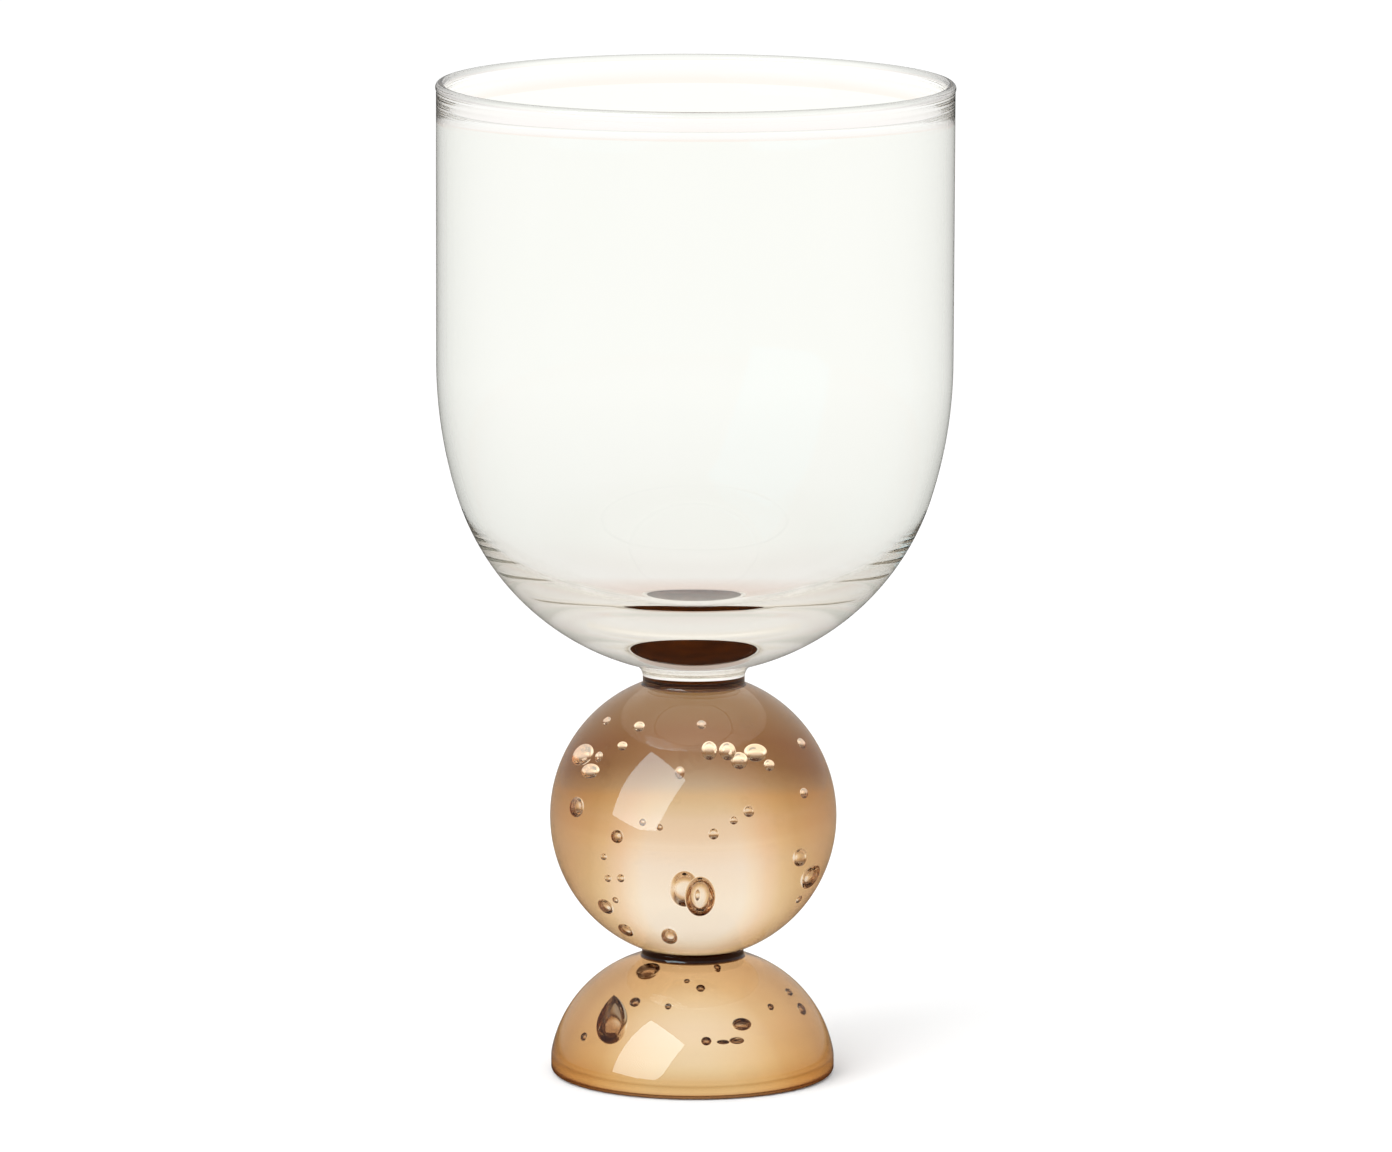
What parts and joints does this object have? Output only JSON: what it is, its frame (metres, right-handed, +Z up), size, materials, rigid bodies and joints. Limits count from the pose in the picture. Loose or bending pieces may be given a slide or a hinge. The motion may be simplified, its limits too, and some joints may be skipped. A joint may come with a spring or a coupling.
{
  "type": "goblet",
  "caption": "Stemmed glass goblet: deep clear round-bottomed bowl on an amber glass ball with sealed air bubbles, which stands on an amber domed foot.",
  "frame": {"origin": "middle of the flat face under the foot", "axes": "+Z up along the goblet's axis, front towards -Y"},
  "size_m": [0.0882, 0.0882, 0.1706],
  "materials": {
    "clear_glass": "clear, fire-polished",
    "amber_glass": "clear amber, polished"
  },
  "bodies": {
    "root": {"bowl": "clear_glass", "stem_ball": "amber_glass", "foot": "amber_glass"}
  },
  "joints": []
}
